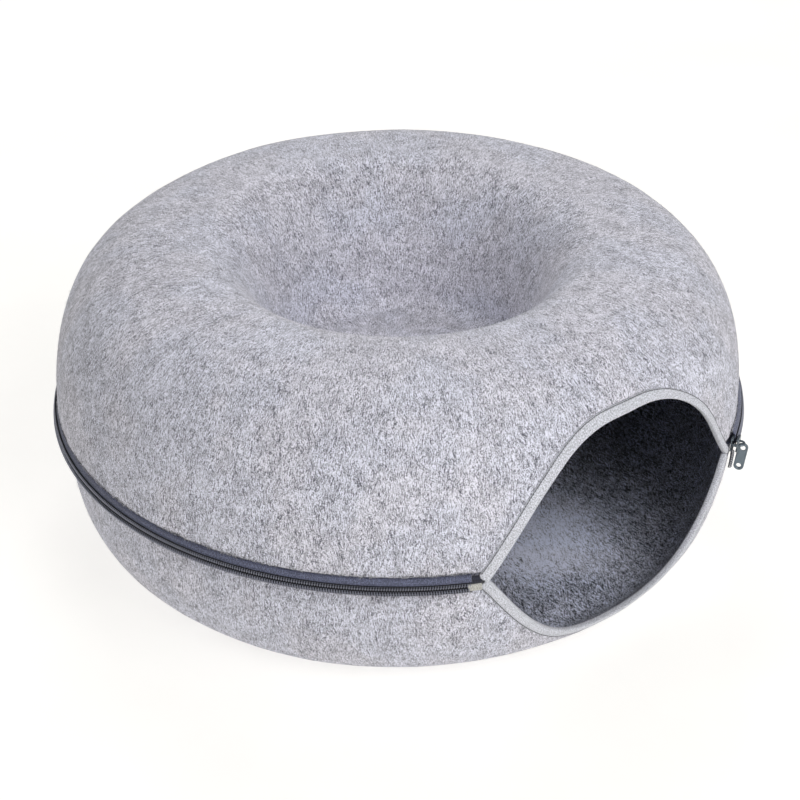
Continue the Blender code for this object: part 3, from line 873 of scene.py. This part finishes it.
class CATBED_OT_bindings(bpy.types.Operator):
    """Folds a ribbon round each cut edge of the doorway and stitches it down"""

    bl_idname = "catbed.bindings"
    bl_label = "Bindings"

    def execute(self, context):
        c = colours()
        ribbon = ribbon_material("woven_ribbon", c.ribbon, 1.25 * MM, 0.16 * MM, 0.30)
        # near-black thread, partly painted shadow line at the ribbon's outer edge
        thread_and_shade = ribbon_material("thread_and_edge_shade", c.thread_and_shade, 0.5 * MM, 0.05 * MM)
        for upper in (True, False):
            self.build(upper, ribbon, thread_and_shade)
        return {"FINISHED"}

    def section(self):
        """Grow and lift of the ribbon's middle line, from its outer edge to its inner one."""
        s = sizes()
        fold = 1.25 * MM
        wide = s.binding_width - fold
        groove = wide - 0.6 * MM
        lie = 0.62 * MM
        outer = [(wide, 0.24), (groove + 0.3 * MM, 0.22), (groove, 0.06),
                 (groove - 0.45 * MM, 0.50), (groove - 1.2 * MM, 0.88),
                 (2.6 * MM, 1.0), (1.0 * MM, 0.95)]
        outer = [(grow, lift * MM) for grow, lift in outer]
        turn = np.linspace(0, math.pi / 2, 5)[1:]
        bow = [(-fold * math.sin(t), lie + 0.22 * MM - fold * (1 - math.cos(t))) for t in turn]
        thin = PRESSED * s.felt
        half = outer + [(0.2 * MM, 0.84 * MM)] + bow + [(-fold - 0.12 * MM, -thin / 2)]
        other = [(grow, -thin - lift - 0.1 * max(grow, 0)) for grow, lift in half[-2::-1]]
        return np.array(half + other), groove

    def build(self, upper, ribbon, thread_and_shade):
        s = sizes()
        half = HALVES[upper]
        rise, shape = arch_of(upper)
        wall = Wall(upper)
        path, out, places = arch_path(rise, shape, 420)
        middle, groove = self.section()
        run = np.gradient(middle, axis=0)
        run /= np.linalg.norm(run, axis=1)[:, None]
        side = np.column_stack([-run[:, 1], run[:, 0]]) * 0.30 * MM
        ring = np.vstack([middle + side, (middle - side)[::-1]])
        keep = np.abs(path[:, 1]) > 0.7 * MM
        path, out, places = path[keep], out[keep], places[keep]
        limit = door_half(path[:, 0], CORNER_LEFT, CORNER_RIGHT) - 0.2 * MM
        if not upper:
            limit += np.clip(-path[:, 1] - 5 * MM, 0, 6 * MM)
        # the upper ribbon lies wider towards the left corner
        spread = [0.42, 0.0, -0.20] if upper else [0.25, 0.0, 0.0]
        wider = 1.06 + np.interp(path[:, 0] / limit, [-1, 0, 1], spread)

        def on_wall(grow, lift):
            reach = grow * wider if grow > 0 else np.full(len(path), grow)
            over = np.abs(path[:, 0] + out[:, 0] * grow) > limit
            gap = (limit - np.abs(path[:, 0])) / np.maximum(np.abs(out[:, 0]), 1e-6)
            reach = np.where(over, np.maximum(gap, -1.3 * MM), reach)
            spot = path + out * reach[:, None]
            high = s.zip_height + spot[:, 1]
            foot = s.zip_height + math.copysign(0.2 * MM, rise)
            high = np.maximum(high, foot) if upper else np.minimum(high, foot)
            wave = 0.12 * MM * np.sin(places / 0.013) + 0.1 * MM * np.sin(places / 0.0071)
            radius = wall.radius(high, lift) + wave * (lift > 0)
            return sprung(spots(radius, spot[:, 0] / s.zip_radius, high), half)

        points = np.stack([on_wall(grow, lift) for grow, lift in ring], axis=1)
        count, around = points.shape[:2]
        faces = grid_faces(count, around, True).tolist()
        faces += [list(range(around))[::-1], [(count - 1) * around + k for k in range(around)]]
        step = np.linalg.norm(np.diff(ring, axis=0, append=ring[:1]), axis=1)
        across = np.concatenate([[0], np.cumsum(step)[:-1]])
        uv = np.stack(np.broadcast_arrays(places[:, None], across[None, :]), axis=-1)
        if upper:
            faces = [face[::-1] for face in faces]
        obj = mesh_object("ribbon_" + half, points.reshape(-1, 3), faces, [ribbon],
                          uv.reshape(-1, 2))
        edit_mesh(obj.data, lambda shape: bmesh.ops.recalc_face_normals(shape, faces=shape.faces))
        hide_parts("binding_" + half)
        seam = self.stitches(half, on_wall, groove, places, thread_and_shade)

    def stitches(self, half, on_wall, groove, places, thread_and_shade):
        """A row of short stitches pressed into the groove near the ribbon's outer edge.

        Their near-black thread is also painted shadow, the dark line along that edge.
        """
        pitch, long = 2.6 * MM, 2.2 * MM
        line = on_wall(groove, 0.70 * MM)
        low = on_wall(groove, 0.26 * MM)
        starts = np.arange(4 * MM, places[-1] - places[0] - 4 * MM, pitch) + places[0]
        steps = np.linspace(0, 1, 6)
        at = starts[:, None] + steps[None, :] * long
        dip = np.array([1.0, 0.35, 0.0, 0.0, 0.35, 1.0])
        paths = np.stack([np.interp(at, places, line[:, k]) for k in range(3)], axis=-1)
        under = np.stack([np.interp(at, places, low[:, k]) for k in range(3)], axis=-1)
        paths = paths * (1 - dip)[None, :, None] + under * dip[None, :, None]
        radii = np.array([[0.26, 0.34, 0.38, 0.38, 0.34, 0.26]]) * MM
        obj = tube_piece("stitches_" + half, paths, radii, 6, thread_and_shade, flat=True)
        return obj


class CATBED_OT_zip(bpy.types.Operator):
    """Weaves the two tapes, lays the coil along them and finishes the ends"""

    bl_idname = "catbed.zip"
    bl_label = "Zip"

    def execute(self, context):
        c = colours()
        tape = tape_material("slate_tape", c.tape)
        # a near-black copy of the tape: painted shade in the fold at the doorway's corner and on
        # the open end under the slider
        fold = tape_material("slate_fold_painted_shade", [v * 0.20 for v in c.tape])
        coil = grained_material("slate_coil", c.coil, 0.34, 0.0, 0.15, 1500, 0.02 * MM)
        # near-black cords: painted shade that shows in the gaps between the teeth
        cord_and_shade = grained_material("coil_cord_and_shade", [v * 0.03 for v in c.coil], 0.9, 0.0, 0.3, 900,
                                0.05 * MM)
        cover = ribbon_material("ivory_cover", c.cover, 0.8 * MM, 0.12 * MM)
        first, last = math.radians(SLIDER_ANGLE + 0.5), math.radians(360 - ZIP_END)
        for half in ("upper", "lower"):
            self.tape(half, first, last, tape)
        self.coil(first, last, coil, cord_and_shade)
        self.ends(fold, cover)
        # a darker copy of the coil: painted shade on the open end's teeth under the slider
        shaded_coil = grained_material("coil_painted_shade", [v * 0.45 for v in c.coil], 0.34, 0.0, 0.15, 1500,
                                0.02 * MM)
        self.open_end(fold, shaded_coil)
        return {"FINISHED"}

    def tape_line(self, half, reach=1.0):
        """Radius and height over the zip of the tape's middle, from inside the felt to the coil."""
        s = sizes()
        upper = half == "upper"
        edge = s.upper_edge if upper else s.lower_edge
        inner = (s.upper_radius if upper else s.lower_radius) - s.felt - 2.6 * MM
        face = s.zip_radius - 0.35 * MM
        rows = np.array([
            (inner - 0.4 * MM, 23.5 * MM), (inner, edge + 4 * MM), (inner + 0.6 * MM, edge),
            (face - (2.2 if upper else 4.5) * MM, edge - 3.4 * MM),
            (face - 0.35 * MM, 4.3 * MM), (face, 3.1 * MM), (face, 0.12 * MM),
        ])
        return rows[rows[:, 1] < reach]

    def band(self, name, rows, sign, first, last, thick, material, node, count):
        """A sheet swept round the bed along rows of (radius, height over the zip)."""
        s = sizes()
        rows, across = resampled(rows, 1.4 * MM)
        turn = np.linspace(first, last, count)
        wave = 0.25 * MM * np.sin(turn * 41) + 0.2 * MM * np.sin(turn * 67 + 1)
        sway = np.clip((rows[:, 1] - 3.5 * MM) / (5 * MM), 0, 1)
        radius = rows[:, 0][:, None] + wave[None, :] * sway[:, None]
        points = spots(radius, turn[None, :], s.zip_height + sign * rows[:, 1][:, None])
        uv = np.stack(
            np.broadcast_arrays(turn[None, :] * s.zip_radius, across[:, None]), axis=-1
        )
        faces = grid_faces(len(rows), count)
        if sign < 0:
            faces = faces[:, ::-1]
        points = sprung(points, "zip")
        obj = mesh_object(name, points.reshape(-1, 3), faces, [material], uv.reshape(-1, 2))
        solid = obj.modifiers.new("Tape", "SOLIDIFY")
        solid.thickness = thick
        solid.offset = 0
        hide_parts(node)
        return obj, across[-1]

    def tape(self, half, first, last, material):
        sign = 1 if half == "upper" else -1
        obj, wide = self.band(
            "tape_" + half, self.tape_line(half), sign, first, last, 0.7 * MM, material,
            "zip_tape_" + half, 700,
        )

    def coil(self, first, last, material, cord_and_shade):
        """Two rows of teeth whose heads meet in the middle, half a pitch apart, round a cord.

        The cords are near black: partly the coil's own cord, partly painted shade in the gaps
        between the teeth.
        """
        s = sizes()
        base = s.zip_radius + 0.30 * MM
        # distance from the zip's middle, height over the tape and thickness of a tooth
        shape = np.array([
            (3.65, 0.10, 0.40), (3.55, 0.95, 0.46), (2.80, 1.42, 0.52),
            (1.85, 1.40, 0.52), (1.05, 0.95, 0.48), (0.65, 0.25, 0.40),
        ]) * MM
        paths = []
        pitch = s.coil_pitch / s.zip_radius
        for sign, shift in ((1, 0.0), (-1, 0.5)):
            turn = np.arange(first + pitch * (1 + shift), last - pitch / 2, pitch)
            slant = np.linspace(0.20, -0.12, len(shape)) * pitch
            radius = base + shape[:, 1][None, :] + (0.9 * MM if sign < 0 else 0)
            height = s.zip_height - ZIP_RAISE + sign * shape[:, 0][None, :]
            paths.append(spots(radius, turn[:, None] + slant[None, :], height))
        paths = sprung(np.concatenate(paths), "coil")
        obj = tube_piece("coil", paths, shape[:, 2][None, :], 6, material)
        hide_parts("zip_chain")
        # cords behind the teeth, near black: partly the coil's cord, partly painted shade between
        # the teeth
        turn = np.linspace(first, last - 0.001, 420)
        cores = [spots(base + 0.30 * MM, turn, s.zip_height + (sign * high - 0.5) * MM)
                 for sign in (1, -1) for high in (0.5, 2.2, 3.9)]
        cores = sprung(np.stack(cores), "coil")
        obj = tube_piece("coil_cords_and_shade", cores, 0.60 * MM, 5, cord_and_shade, flat=True)

    def ends(self, fold, cover):
        """The tapes' ends are folded back and a small cover closes the coil.

        The fold is a near-black copy of the tape, painted shade.
        """
        s = sizes()
        first = TURN - math.radians(ZIP_END) + 0.0006
        last = TURN - math.radians(CORNER_LEFT) - 0.0006
        rows = self.tape_line("upper", 9.2 * MM) + np.array([0.30 * MM, 0])
        obj, _ = self.band(
            "tape_fold", rows, 1, first, last, 1.3 * MM, fold, "zip_tape_fold", 14
        )
        face = s.zip_radius + 1.9 * MM
        bow = [(face - 1.6 * MM, 2.0 * MM), (face - 0.5 * MM, 1.9 * MM), (face, 1.3 * MM),
               (face - 0.1 * MM, 0.3 * MM), (face - 0.9 * MM, -0.5 * MM),
               (face - 0.1 * MM, -1.3 * MM), (face, -2.5 * MM), (face - 0.5 * MM, -3.4 * MM),
               (face - 1.6 * MM, -3.6 * MM)]
        obj, _ = self.band(
            "end_cover", np.array(bow), 1, first - 0.012, last - 0.0012, 0.7 * MM, cover,
            "zip_end_cover", 18,
        )

    def open_end(self, tape, coil):
        """The lower row's free end, which hangs below the slider with its last teeth.

        Its tape and teeth are darker copies of the zip's, painted shade under the slider.
        """
        s = sizes()
        first, last = (math.radians(angle) for angle in OPEN_END)
        drop = [(0.4, 3.8), (0.2, 8), (0.3, 13), (0.9, 19)]
        rows = np.array([(s.zip_radius - near * MM, low * MM) for near, low in drop])
        obj, _ = self.band("open_end", rows, -1, first, last, 0.9 * MM, tape, "zip_end_open", 12)
        line, _ = resampled(rows, s.coil_pitch * 0.9)
        middle = (first + last) / 2
        turn = middle + np.array([-0.0065, -0.0045, 0.0, 0.0045, 0.0065])
        lift = np.array([0.7, 1.7, 2.1, 1.7, 0.7]) * MM
        paths = spots(line[:, 0][:, None] + lift[None, :], turn[None, :],
                      s.zip_height - line[:, 1][:, None])
        obj = tube_piece("open_end_teeth", sprung(paths, "zip"), 0.52 * MM, 6, coil)


class CATBED_OT_metal(bpy.types.Operator):
    """Casts the slider with its two wings and bridge, and stamps the pull tab"""

    bl_idname = "catbed.metal"
    bl_label = "Slider and Pull"

    def execute(self, context):
        body = colours().metal
        metal = grained_material("gunmetal", body, 0.34, 1.0, 0.12, 1800, 0.02 * MM)
        dark = grained_material("dark_metal", [v * 0.9 for v in body], 0.28, 0.6, 0.2, 1500,
                                0.03 * MM)
        turn = math.radians(SLIDER_ANGLE)
        spot = Vector(spots(sizes().zip_radius, turn, sizes().zip_height))
        # X along the zip towards the doorway, Y outwards, Z up
        frame_at = Matrix.Translation(spot) @ Matrix.Rotation(turn + math.pi, 4, "Z")
        self.slider(frame_at @ Matrix.Translation((0, 0, -1.2 * MM)) @ Matrix.Scale(1.12, 4), dark)
        self.pull(frame_at @ Matrix.Translation((0, 0.8 * MM, -1.6 * MM)), metal)
        return {"FINISHED"}

    def plate(self, name, outlines, thick, bevel, place, material):
        """A flat stamped piece with rounded edges, from its outline and the holes in it."""
        curve = bpy.data.curves.new(name, "CURVE")
        curve.dimensions = "2D"
        curve.fill_mode = "BOTH"
        curve.extrude = thick / 2 - bevel
        curve.bevel_depth = bevel
        curve.bevel_resolution = 2
        for outline in outlines:
            spline = curve.splines.new("POLY")
            spline.points.add(len(outline) - 1)
            for point, (x, y) in zip(spline.points, outline):
                point.co = (x, y, 0, 1)
            spline.use_cyclic_u = True
        guide = bpy.data.objects.new(name, curve)
        mesh = bpy.data.meshes.new_from_object(guide)
        bpy.data.objects.remove(guide)
        mesh.transform(place)
        mesh.materials.clear()
        mesh.materials.append(material)
        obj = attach(linked(name, mesh), BODY)
        return obj

    def oval(self, wide, high, middle=0.0, steps=40):
        """A rectangle with fully rounded ends, upright, round (0, middle)."""
        points = []
        radius = min(wide, high) / 2
        for step in range(steps):
            turn = TURN * (step + 0.5) / steps
            x = radius * math.cos(turn) + math.copysign(max(wide / 2 - radius, 0), math.cos(turn))
            y = radius * math.sin(turn) + math.copysign(max(high / 2 - radius, 0), math.sin(turn))
            points.append((x, middle + y))
        return points

    def slider(self, place, metal):
        """Front and back plate with their flanges, joined at the nose, and the bridge."""
        stand = Matrix.Rotation(math.pi / 2, 4, "X")
        half = [(-6.0, 2.6), (-5.4, 3.7), (-1.5, 4.1), (1.5, 4.9), (4.2, 5.5), (5.5, 4.9),
                (6.0, 3.4), (5.5, 1.8), (4.6, 0.0)]
        outline = [(x * MM, z * MM) for x, z in half]
        outline += [(x, -z) for x, z in outline[-2::-1]]
        pieces = []
        for name, out, thick in (("slider_front", 3.55, 1.2), ("slider_back", -1.35, 1.0)):
            lay = place @ Matrix.Translation((0, out * MM, 0)) @ stand
            pieces.append(self.plate(name, [outline], thick * MM, 0.35 * MM, lay, metal))
        # flanges along both sides leave a slot for the tapes
        line = [(-5.6, 3.3), (-1.5, 3.8), (1.5, 4.5), (4.2, 5.0), (5.3, 4.5)]
        flanges = [[(x, out, z * side) for x, z in line]
                   for side in (1, -1) for out in (2.75, -0.55)]
        post = [[(4.3, out, 0) for out in (-1.6, 0.4, 2.0, 3.8)]]
        bridge = [[(-3.3 * math.cos(t), 3.6 + 4.3 * math.sin(t) ** 0.6, 0)
                   for t in np.linspace(0, math.pi, 15)]]
        for name, paths, thick, sides in (
            ("slider_flanges", flanges, 0.62, 8),
            ("slider_post", post, (1.5, 1.1, 1.1, 1.5), 10),
            ("slider_bridge", bridge, 0.78, 10),
        ):
            points, faces = tubes(np.array(paths) * MM, np.array(thick) * MM, sides)
            points = [tuple(place @ Vector(point)) for point in points]
            obj = mesh_object(name, points, faces, [metal])
            pieces.append(obj)
        for piece in pieces:
            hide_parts("zip_slider")

    def pull(self, place, metal):
        """A long tab with a round eye at each end, hung on the bridge and leaning inwards."""
        wide, long = 8.0 * MM, 27.0 * MM
        lean = Matrix.Rotation(math.radians(-7), 4, "X")
        hang = Matrix.Translation((0, 6.2 * MM, -0.8 * MM)) @ lean
        drop = Matrix.Translation((0, wide / 2 - 2.6 * MM, 1.8 * MM - long / 2))
        # the tab's own X points outwards, its Y up and its thickness along the zip
        turned = Matrix(((0, 0, 1, 0), (1, 0, 0, 0), (0, 1, 0, 0), (0, 0, 0, 1)))
        lay = place @ hang @ drop @ turned
        outline = self.oval(wide, long)
        top = self.oval(5.0 * MM, 5.6 * MM, long / 2 - 4.6 * MM)
        eye = self.oval(4.9 * MM, 4.9 * MM, -long / 2 + 4.4 * MM)
        tab = self.plate("pull_tab", [outline, top, eye], 1.3 * MM, 0.40 * MM, lay, metal)
        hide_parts("zip_pull")
        # raised rims round the tab and its eye
        paths = []
        for ring in (self.oval(wide - 1.1 * MM, long - 1.1 * MM, 0, 72),
                     self.oval(6.2 * MM, 6.2 * MM, -long / 2 + 4.4 * MM, 72)):
            for side in (0.55, -0.55):
                loop = [lay @ Vector((x, y, side * MM)) for x, y in ring + ring[:1]]
                paths.append([tuple(point) for point in loop])
        rims = tube_piece("pull_rims", np.array(paths), 0.32 * MM, 6, metal, ends=False)


def toward(azimuth, elevation):
    """Which way something lies from the bed, by its angles in degrees."""
    turn, tilt = math.radians(azimuth), math.radians(elevation)
    return Vector((math.sin(turn) * math.cos(tilt), -math.cos(turn) * math.cos(tilt),
                   math.sin(tilt)))


class CATBED_OT_stage(bpy.types.Operator):
    """Lays the floor and sets up the camera and the soft lights"""

    bl_idname = "catbed.stage"
    bl_label = "Studio"

    def execute(self, context):
        self.floor()
        self.camera(context)
        self.lights(context)
        return {"FINISHED"}

    def floor(self):
        mesh = bpy.data.meshes.new("floor")
        edit_mesh(mesh, lambda shape: bmesh.ops.create_circle(
            shape, cap_ends=True, radius=12, segments=96))
        obj = linked("floor", mesh)
        obj.location.z = -0.2 * MM
        paper = grained_material("studio_floor", colours().floor, 0.9, 0.0, 0.01, 40, 0)
        shader = paper.node_tree.nodes["Principled BSDF"]
        shader.inputs["Emission Color"].default_value = (1.0, 0.985, 0.955, 1.0)
        shader.inputs["Emission Strength"].default_value = 0.72
        mesh.materials.append(paper)

    def camera(self, context):
        """A long lens above the front left of the doorway, aimed a little under the ridge."""
        back = toward(-39.8, 31.71)
        data = bpy.data.cameras.new("camera")
        data.lens, data.sensor_width = 90.9, 36.0
        data.clip_start, data.clip_end = 0.05, 60.0
        camera = linked("camera", data)
        look = (-back).to_track_quat("-Z", "Y").to_matrix().to_4x4()
        nod = Matrix.Rotation(math.radians(-0.60), 4, "X")
        pan = Matrix.Rotation(math.radians(-0.05), 4, "Y")
        roll = Matrix.Rotation(-0.0018, 4, "Z")
        camera.matrix_world = (
            Matrix.Translation(AIM + back * CAMERA_AWAY) @ look @ pan @ nod @ roll
        )
        context.scene.camera = camera

    def lights(self, context):
        scene = context.scene
        world = bpy.data.worlds.new("studio")
        scene.world = world
        world.use_nodes = True
        glow = world.node_tree.nodes["Background"]
        glow.inputs["Color"].default_value = (1.0, 1.0, 1.0, 1.0)
        glow.inputs["Strength"].default_value = 0.19
        # name, angle round the bed, height angle, size and power
        for name, azimuth, elevation, size, power in (
            ("key", 3, 41, 1.7, 33),
            ("front", -40, 46, 1.6, 8.5),
            ("top", 0, 80, 1.6, 2.5),
            ("fill", -105, 42, 1.6, 4.2),
            ("back", 150, 45, 1.6, 24),
        ):
            back = toward(azimuth, elevation)
            data = bpy.data.lights.new(name, "AREA")
            data.shape, data.size, data.energy = "DISK", size, power
            lamp = linked(name, data)
            lamp.location = AIM + back * LIGHTS_AWAY
            lamp.rotation_mode = "QUATERNION"
            lamp.rotation_quaternion = (-back).to_track_quat("-Z", "Y")
        scene.view_settings.view_transform = "Standard"
        scene.view_settings.look = "None"


class CATBED_PT_panel(bpy.types.Panel):
    """Lists the bed's pieces, sizes and colours"""

    bl_idname = "CATBED_PT_panel"
    bl_label = "Cat Bed"
    bl_space_type = "VIEW_3D"
    bl_region_type = "UI"
    bl_category = "Cat Bed"

    def draw(self, context):
        layout = self.layout
        for operator in OPERATORS:
            layout.operator(operator.bl_idname)
        for group in (context.scene.cat_bed_sizes, context.scene.cat_bed_colours):
            box = layout.box()
            for name in group.__annotations__:
                box.prop(group, name)


OPERATORS = (
    CATBED_OT_felt,
    CATBED_OT_fibres,
    CATBED_OT_bindings,
    CATBED_OT_zip,
    CATBED_OT_metal,
    CATBED_OT_stage,
)
CLASSES = (CatBedSizes, CatBedColours, *OPERATORS, CATBED_PT_panel)


def register():
    for item in CLASSES:
        bpy.utils.register_class(item)
    bpy.types.Scene.cat_bed_sizes = PointerProperty(type=CatBedSizes)
    bpy.types.Scene.cat_bed_colours = PointerProperty(type=CatBedColours)


def unregister():
    del bpy.types.Scene.cat_bed_colours
    del bpy.types.Scene.cat_bed_sizes
    for item in reversed(CLASSES):
        bpy.utils.unregister_class(item)


def main():
    register()
    bpy.ops.catbed.felt()
    bpy.ops.catbed.fibres()
    bpy.ops.catbed.bindings()
    bpy.ops.catbed.zip()
    bpy.ops.catbed.metal()
    bpy.ops.catbed.stage()


if __name__ == "__main__":
    main()
